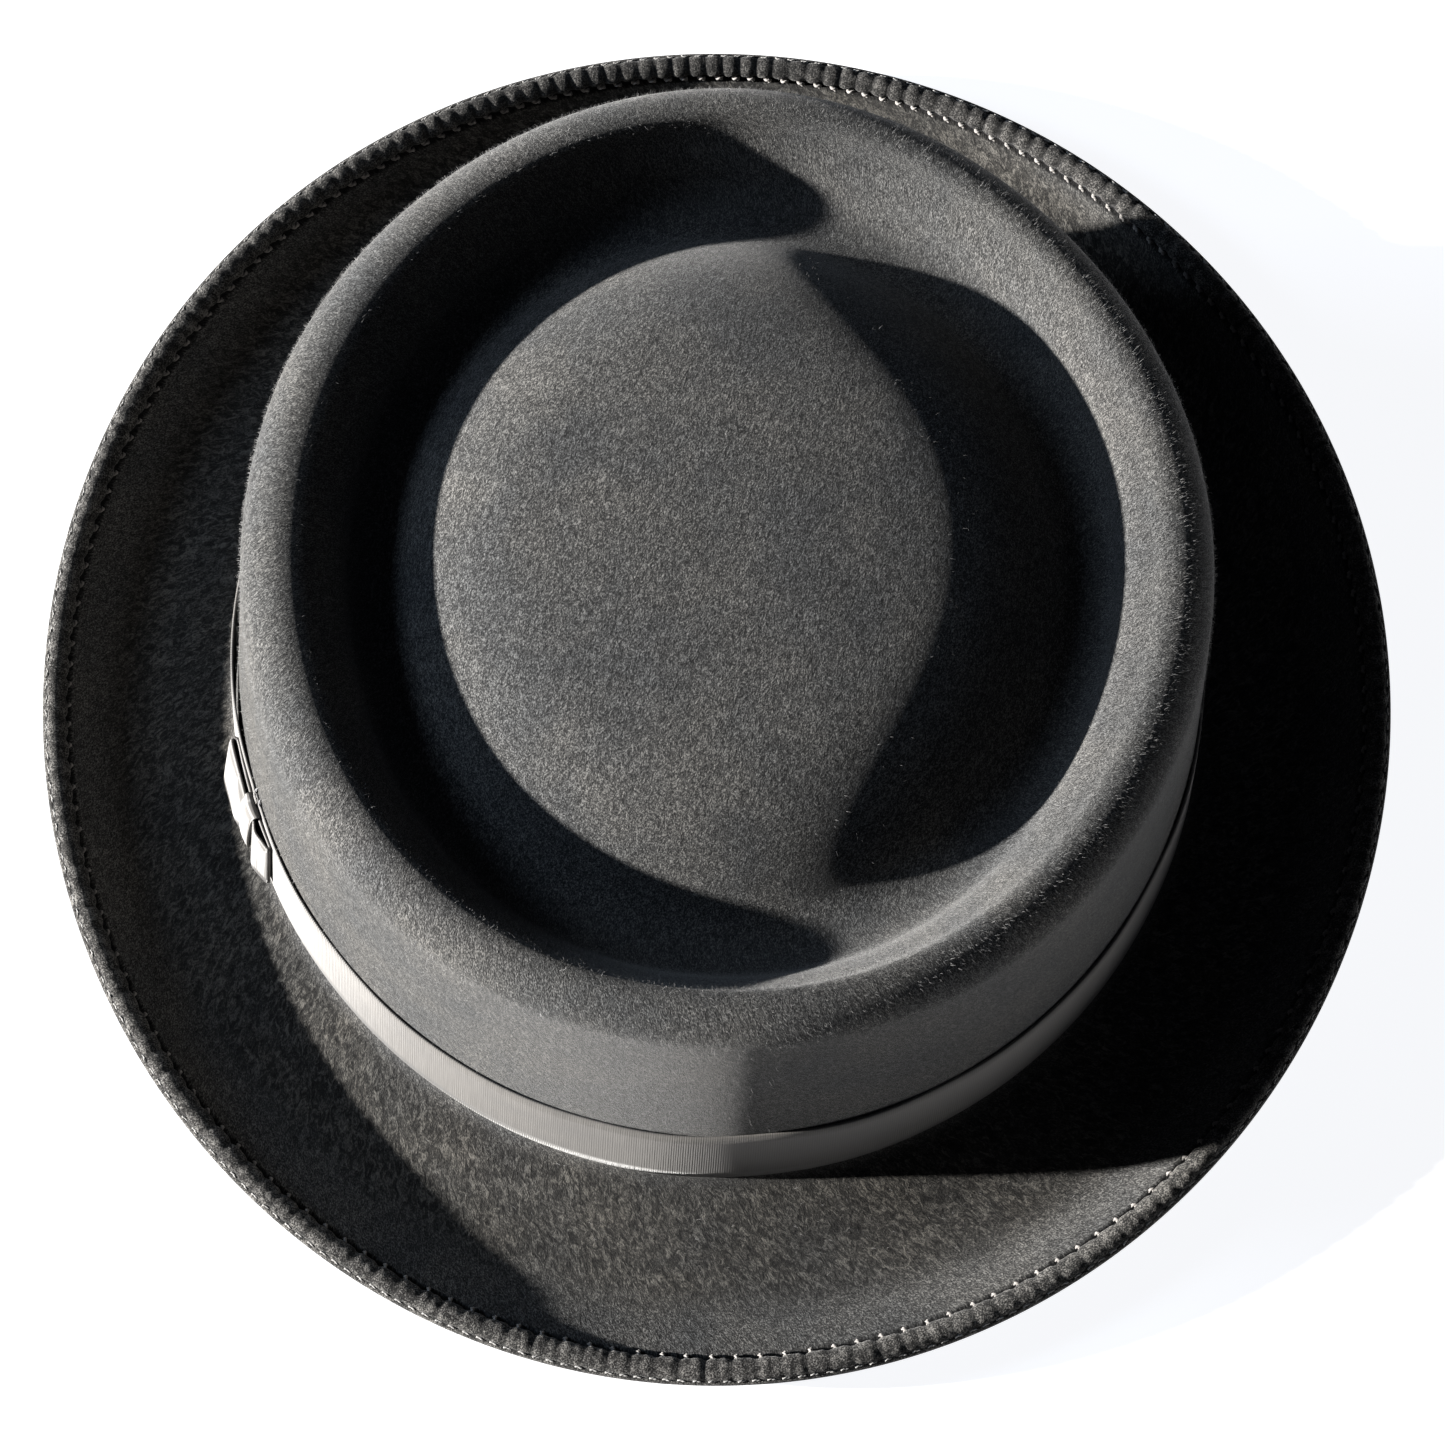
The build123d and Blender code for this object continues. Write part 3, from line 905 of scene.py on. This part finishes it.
def band():
    """Grosgrain band, laid snug round the crown with its ends under the bow."""
    columns, rows = 720, 8
    start = BOW_DIRECTION - 0.02
    turns = start + np.linspace(0, 2 * pi + 0.03, columns)
    shares = np.linspace(0, 1, rows)
    loose = 0.10 + 0.12 * np.sin(7 * turns + 0.4) ** 2 + 0.06 * np.sin(19 * turns)
    loose = loose + 0.6 * np.exp(-(((turns - start - radians(342)) / 0.2) ** 2))
    overlap = 0.3 * smooth(2 * pi, 2 * pi + 0.01, turns - start)
    sheets = []
    for skin in (BAND_THICKNESS * 0.75, 0.12):
        face = []
        for share in shares:
            height = BAND_FOOT + (BAND_TOP - BAND_FOOT) * share + 0.12 * np.sin(5 * turns + 2 * share)
            radius = wall_radius(height) + HALF / cos(WALL_LEAN) + skin + loose * (0.4 + share) + overlap
            radius = radius - 0.08 * (abs(share - 0.5) * 2) ** 6
            face.append(mould(turns, radius, height))
        sheets.append(face)
    points = np.concatenate([np.array(sheets[0]), np.array(sheets[1])[::-1]])
    piece = add_mesh(
        "band_ribbon", points, strip_faces(rows, columns), ribbon_satin,
        slot="ribbon", stands_for=["ribbon_band"],
    )
    add_attribute(piece, "along", np.tile((turns - start) * 97.0, 2 * rows))
    add_attribute(piece, "up", np.repeat(np.concatenate([shares, shares[::-1]]) * 20.5, columns))
    return piece


band()


LOOP_POINTS = 64             # points along each loop's plan


def front_loop(share):
    """Plan of the bow's front loop: pressed together at the top, flared lower down."""
    flare = 1.2 + 1.2 * (1 - share) ** 0.7
    return arc_through(
        [(-2.2, 0.35), (2.4, 0.35), (7.2, 0.4), (11.8, 0.5), (12.6, 0.45 + 0.5 * flare),
         (12.2, 0.5 + flare), (8, 0.4 + 0.97 * flare), (4, 0.4 + 0.88 * flare), (0.8, 1.5), (-2.2, 1.3)],
        LOOP_POINTS,
    )


def rear_loop(share):
    """Plan of the small rear loop, which stands open."""
    flare = 1.35 + 0.35 * (1 - share)
    return arc_through(
        [(1.6, 0.9), (-1.8, 0.95), (-3.4, 0.3 + 0.8 * flare), (-5.4, 0.5 + flare),
         (-7.4, 0.4 + 0.72 * flare), (-9.1, 0.95), (-9.4, 0.45), (-8.6, 0.3), (-5.4, 0.3),
         (-2.3, 0.35), (1.2, 0.4)],
        LOOP_POINTS,
    )


def knot_wrap():
    """The ribbon drawn slantwise over the middle of the bow and turned in at its ends."""
    width, columns = 5.0, 11
    lifts = arc_through(
        [(BOW_FOOT + 0.4, 0.15), (BOW_FOOT - 0.5, 0.9), (BOW_FOOT + 0.3, 1.9), (BOW_FOOT + 4, 2.35),
         (BOW_TOP - 4, 2.2), (BOW_TOP - 0.4, 1.75), (BOW_TOP + 0.35, 0.9), (BOW_TOP - 0.5, 0.15)],
        40,
    )
    normal = side_normals(lifts)
    across = np.linspace(-0.5, 0.5, columns)
    sheets = []
    for half in (0.28, -0.28):
        line = lifts + half * normal
        height = line[:, :1] + 0 * across
        crown = line[:, 1:] - 0.35 * (2 * across) ** 2 * smooth(0.5, 1.6, line[:, 1:])
        slant = 1.6 * (height - (BOW_FOOT + BOW_TOP) / 2) / (BOW_TOP - BOW_FOOT)
        radius = wall_radius(height) + (HALF + BAND_THICKNESS) / cos(WALL_LEAN) + crown
        turn = BOW_DIRECTION - (across * width - slant) / wall_radius(BOW_FOOT)
        sheets.append(mould(turn, radius, height))
    points = np.concatenate([sheets[0], sheets[1][::-1]])
    rows = len(lifts)
    piece = add_mesh(
        "bow_wrap", points, strip_faces(rows, columns), ribbon_satin,
        slot="ribbon", stands_for=["bow_knot"],
    )
    along = along_line(lifts)
    add_attribute(piece, "along", np.repeat(np.concatenate([along, along[::-1]]), columns))
    add_attribute(piece, "up", np.tile(across * width, 2 * rows))
    return piece


big_loop = ribbon_piece("bow_front_loop", front_loop, BOW_FOOT, BOW_TOP, 0.5)
small_loop = ribbon_piece("bow_rear_loop", rear_loop, BOW_FOOT + 0.6, BOW_TOP - 0.4, 0.45)
knot_wrap()


def wall_stitches(name, spots, length, width, rise, angle, outward, nodes):
    """Short threads on the crown wall; spots are (turn, height, lift off the middle of the felt)."""
    spots = np.asarray(spots, float)
    turn, height, lift = spots.T
    here = mould(turn, wall_radius(height) + lift, height)
    round_it = unit(mould(turn + 0.003, wall_radius(height) + lift, height) - here)
    rising = unit(mould(turn, wall_radius(height + 0.3) + lift, height + 0.3) - here)
    up = np.cross(round_it, rising)
    up *= np.sign(np.sum(up[:, :2] * here[:, :2], axis=1))[:, None] * outward
    lean = np.broadcast_to(np.radians(angle), len(spots))[:, None]
    along = np.cos(lean) * round_it + np.sin(lean) * rising
    points, faces = twisted_bars(here, along, up, length / 1000, width / 1000, rise / 1000)
    return add_mesh(name, points, faces, hidden_thread, slot="thread", stands_for=nodes)


tack_height = BAND_TOP + 0.7
wall_stitches(
    "bow_tacks",
    [(BOW_DIRECTION - 0.012, tack_height, HALF + 0.25), (BOW_DIRECTION + 0.016, tack_height, HALF + 0.25)],
    2.6, 0.6, 0.25, [80, 105], 1, ["bow_tack_stitches"],
)


# Inside the crown

BACK = 1.5 * pi              # direction of the back seam
SWEAT_LIFT = -HALF - 1.5
SWEAT_THICKNESS = 1.0
REED_HEIGHT = (box_mm("sweatband_reed")[0][2] + box_mm("sweatband_reed")[1][2]) / 2
REED_RADIUS = box_mm("sweatband_reed")[1][0] - 0.9


def wall_strip(foot, top, face, thickness, rows):
    """Closed section of a strip along the wall; face is its outer side, off the mid-felt."""
    heights = np.linspace(foot, top, rows)
    outer = np.stack([wall_radius(heights) + face, heights], axis=1)
    inner = np.stack([wall_radius(heights) + face - thickness, heights], axis=1)[::-1]
    return np.concatenate([outer, inner])


def leather_wave(turns, radius, height):
    share = np.clip((height - SWEAT_FOOT) / (SWEAT_TOP - SWEAT_FOOT), 0, 1)
    wave = 0.55 * share * np.sin(9 * turns + 1.0) * np.sin(4 * turns)
    seam = 0.5 * np.exp(-(((turns - BACK) / 0.012) ** 2))
    return radius - 0.4 * share + 0.5 * wave - seam, height - 0.5 * share * np.sin(6 * turns + 0.5) ** 2


ring_piece(
    "leather_sweatband", wall_strip(SWEAT_FOOT, SWEAT_TOP, SWEAT_LIFT, SWEAT_THICKNESS, 26), leather, 480,
    wobble=leather_wave, slot="leather", stands_for=["sweatband"],
)


def circle_section(radius, height, size, count):
    turn = turns_round(count)[0]
    return np.stack([radius + size * np.cos(turn), height + size * np.sin(turn)], axis=1)


def tape_wave(turns, radius, height):
    return radius + 0.05 * np.sin(260 * turns), height + 0.06 * np.sin(131 * turns)


ring_piece(
    "reed_core", circle_section(REED_RADIUS, REED_HEIGHT, 0.88, 12), tape_cloth, 360,
    slot="reed", stands_for=["sweatband_reed"],
)
flange = wall_strip(REED_HEIGHT + 0.6, SWEAT_FOOT + 5.0, -HALF - 0.12, 0.35, 6)
tape = circle_section(REED_RADIUS, REED_HEIGHT, 1.24, 20)
ring_piece(
    "reed_tape", tape, tape_cloth, 720, wobble=tape_wave, slot="tape", stands_for=["sweatband_reed_tape"],
)
ring_piece("reed_tape_flange", flange, tape_cloth, 480, slot="tape", stands_for=["sweatband_reed_tape"])

SWEAT_STITCHES = 130
BACK_STITCHES = 8
SWEAT_FACE = SWEAT_LIFT - SWEAT_THICKNESS
wall_stitches(
    "sweatband_sewing",
    [(2 * pi * k / SWEAT_STITCHES, SWEAT_FOOT + 3.0, SWEAT_FACE - 0.15) for k in range(SWEAT_STITCHES)],
    2.3, 0.6, 0.15, 0, -1, ["sweatband_thread"],
)
wall_stitches(
    "back_seam_stitches",
    [(BACK, SWEAT_FOOT + 17.5 + 3.6 * k, SWEAT_FACE - 0.85) for k in range(BACK_STITCHES)],
    4.4, 0.65, 0.2, [28 if k % 2 else -28 for k in range(BACK_STITCHES)], -1,
    ["sweatband_back_stitches"],
)


def back_bow():
    """Small flat ribbon bow over the sweatband's back seam, with a wrapped middle."""
    height = SWEAT_FOOT + 9.0
    shares = np.linspace(-1, 1, 41)
    half = 1.3 + 2.2 * smooth(0.1, 1, np.abs(shares))
    puff = 0.35 + 1.1 * np.sin(pi * np.clip(np.abs(shares), 0, 1)) ** 0.8
    rim = turns_round(16)[0]
    lift = SWEAT_FACE - 0.9
    sections = []
    for share, tall, thick in zip(shares, half, puff):
        turn = BACK + 8.0 * share / 94.0
        up = height + tall * np.sin(rim)
        out = wall_radius(height) + lift - 0.5 * thick * (1 - np.cos(rim))
        sections.append(mould(turn, out, up))
    points = np.array(sections)
    count = len(rim)
    faces = grid_faces(len(sections), count)
    faces.append(tuple(range(count)))
    faces.append(tuple(reversed(range((len(sections) - 1) * count, len(sections) * count))))
    piece = add_mesh(
        "back_bow", points, faces, trim_ribbon,
        slot="sweatband_ribbon", stands_for=["sweatband_bow"],
    )
    add_attribute(piece, "run", np.repeat(shares * 8, count))
    return piece


back_bow()


def side_pleats(turns, radius, height):
    share = np.clip((height - lining_low[2]) / (lining_high[2] - lining_low[2]), 0, 1)
    pleat = 0.35 * np.sin(48 * turns + 1.5 * np.sin(5 * turns)) * (0.3 + 0.7 * share)
    return radius - np.abs(pleat), height


side_section = wall_strip(lining_low[2], lining_high[2], -HALF - 0.25, 0.4, 14)
side_panel = ring_piece(
    "satin_side", side_section, lining_satin, 960, wobble=side_pleats,
    slot="satin", stands_for=["lining_side"],
)


def satin_tip():
    """Oval tip of the lining: slack satin, a little lower in the middle."""
    radius = tip_high[0]
    rings, columns = 40, 240
    turns = turns_round(columns)
    radii = radius * (np.arange(1, rings + 1) / rings)[:, None]
    sag = 1.1 * (1 - (radii / radius) ** 2)
    ripple = 0.35 * np.sin(3 * turns + radii / 14) * np.sin(radii / 9) * (radii / radius)
    faces, points = [], []
    for skin, level in enumerate((tip_low[2] + 0.05, tip_high[2] - 0.05)):
        points.append(mould(turns, radii, level - sag + ripple * 0.6).reshape(-1, 3))
        points.append(mould(0.0, 0.0, level - 1.1)[None, :])
    start = len(points[0]) + 1
    for base in (0, start):
        grid = grid_faces(rings, columns, start=base)
        grid += [(base + j, base + (j + 1) % columns, base + rings * columns) for j in range(columns)]
        faces += [tuple(reversed(face)) for face in grid] if base else grid
    rim = (rings - 1) * columns
    for j in range(columns):
        k = (j + 1) % columns
        faces.append((rim + j, rim + k, start + rim + k, start + rim + j))
    piece = add_mesh(
        "satin_tip", np.concatenate(points), faces, lining_satin,
        slot="satin", stands_for=["lining_tip"],
    )
    return piece


satin_tip()


def cord_twist(turns, radius, height):
    centre_r, centre_z = piping_place
    out, up = radius - centre_r, height - centre_z
    ply = 1 + 0.10 * np.cos(3 * np.arctan2(up, out) + 210 * turns)
    return centre_r + out * ply, centre_z + up * ply


piping_low, piping_high = box_mm("lining_piping")
piping_place = (piping_high[0] - 0.8, (piping_low[2] + piping_high[2]) / 2)
ring_piece(
    "tip_piping", circle_section(*piping_place, 0.78, 14), piping_satin, 1440, wobble=cord_twist,
    slot="piping", stands_for=["lining_piping"],
)


def size_tab():
    """Small blank woven tab standing up behind the sweatband."""
    columns, rows = 13, 15
    foot, top = box_mm("size_tab")[0][2], box_mm("size_tab")[1][2]
    turns = np.linspace(radians(262.3), radians(269.7), columns)
    heights = np.linspace(foot, top, rows)[:, None]
    sheets = []
    for lift in (-2.15, -2.45):
        curve = 0.12 * np.sin(pi * np.linspace(0, 1, rows))[:, None]
        sheets.append(mould(turns, wall_radius(heights) + lift + curve, heights))
    points = np.concatenate([sheets[0], sheets[1][::-1]])
    piece = add_mesh(
        "blank_tab", points, strip_faces(rows, columns), tab_cloth,
        slot="tab", stands_for=["size_tab"],
    )
    run_up = np.concatenate([heights.ravel(), heights.ravel()[::-1]])
    add_attribute(piece, "run", np.repeat(run_up, columns))
    return piece


size_tab()


# Stage, lights and camera


def floor():
    mesh = bpy.data.meshes.new("floor")
    size, steps = 5.0, 12
    line = np.linspace(-size, size, steps)
    points = [(x, y, -0.0004) for y in line for x in line]
    mesh.from_pydata(points, [], grid_faces(steps, steps, wrap_columns=False))
    piece = bpy.data.objects.new("floor", mesh)
    scene.collection.objects.link(piece)
    material, tree = new_material("floor_paper")
    tone = noise(tree, object_mm(tree), 0.01, 2.0)
    tone = ramp(tree, tone, (0.3, (0.34, 0.34, 0.345)), (0.7, (0.38, 0.38, 0.382)))
    dressed(material, tone, Roughness=0.9, Emission_Color=(0.965, 0.975, 1.0, 1), Emission_Strength=0.94)
    mesh.materials.append(material)


def lamp(name, kind, azimuth, elevation, distance, energy, colour, **values):
    """A lamp that shines at the hat from a direction."""
    data = bpy.data.lights.new(name, kind)
    data.energy = energy
    data.color = colour
    for key, value in values.items():
        setattr(data, key, value)
    piece = bpy.data.objects.new(name, data)
    away = Vector((cos(azimuth) * cos(elevation), sin(azimuth) * cos(elevation), sin(elevation)))
    piece.location = away * distance
    piece.rotation_mode = "QUATERNION"
    piece.rotation_quaternion = away.to_track_quat("Z", "Y")
    scene.collection.objects.link(piece)


def camera():
    """The photograph's viewpoint: high, a little behind the hat, slightly rolled."""
    tilt, turn, roll = radians(20.7), radians(0.2), radians(4.4)
    target = Vector((0.00125, -0.01885, 0.0358))
    ahead = Vector((sin(turn) * sin(tilt), cos(turn) * sin(tilt), -cos(tilt)))
    right = Vector((cos(turn), -sin(turn), 0))
    above = right.cross(ahead)
    right, above = cos(roll) * right + sin(roll) * above, cos(roll) * above - sin(roll) * right
    data = bpy.data.cameras.new("camera")
    data.lens = 119.7
    data.sensor_width = 36.0
    data.clip_start, data.clip_end = 0.05, 20
    piece = bpy.data.objects.new("camera", data)
    facing = Matrix((right, above, -ahead)).transposed().to_4x4()
    piece.matrix_world = Matrix.Translation(target - 0.9 * ahead) @ facing
    scene.collection.objects.link(piece)
    scene.camera = piece


floor()
lamp("key", "SUN", radians(185.8), radians(13.5), 1.5, 26.0, (1.0, 0.97, 0.93), angle=radians(1.6))
lamp("fill", "AREA", radians(178), radians(33), 1.4, 8.0, (0.62, 0.78, 1.0), size=0.3)
lamp("bounce", "AREA", radians(-38), radians(4), 1.5, 1.2, (1.0, 0.98, 0.95), size=0.5)
world = bpy.data.worlds.new("studio")
world.use_nodes = True
world.node_tree.nodes["Background"].inputs[0].default_value = (0.72, 0.80, 1.0, 1)
world.node_tree.nodes["Background"].inputs[1].default_value = 0.04
scene.world = world
scene.view_settings.view_transform = "Standard"
camera()
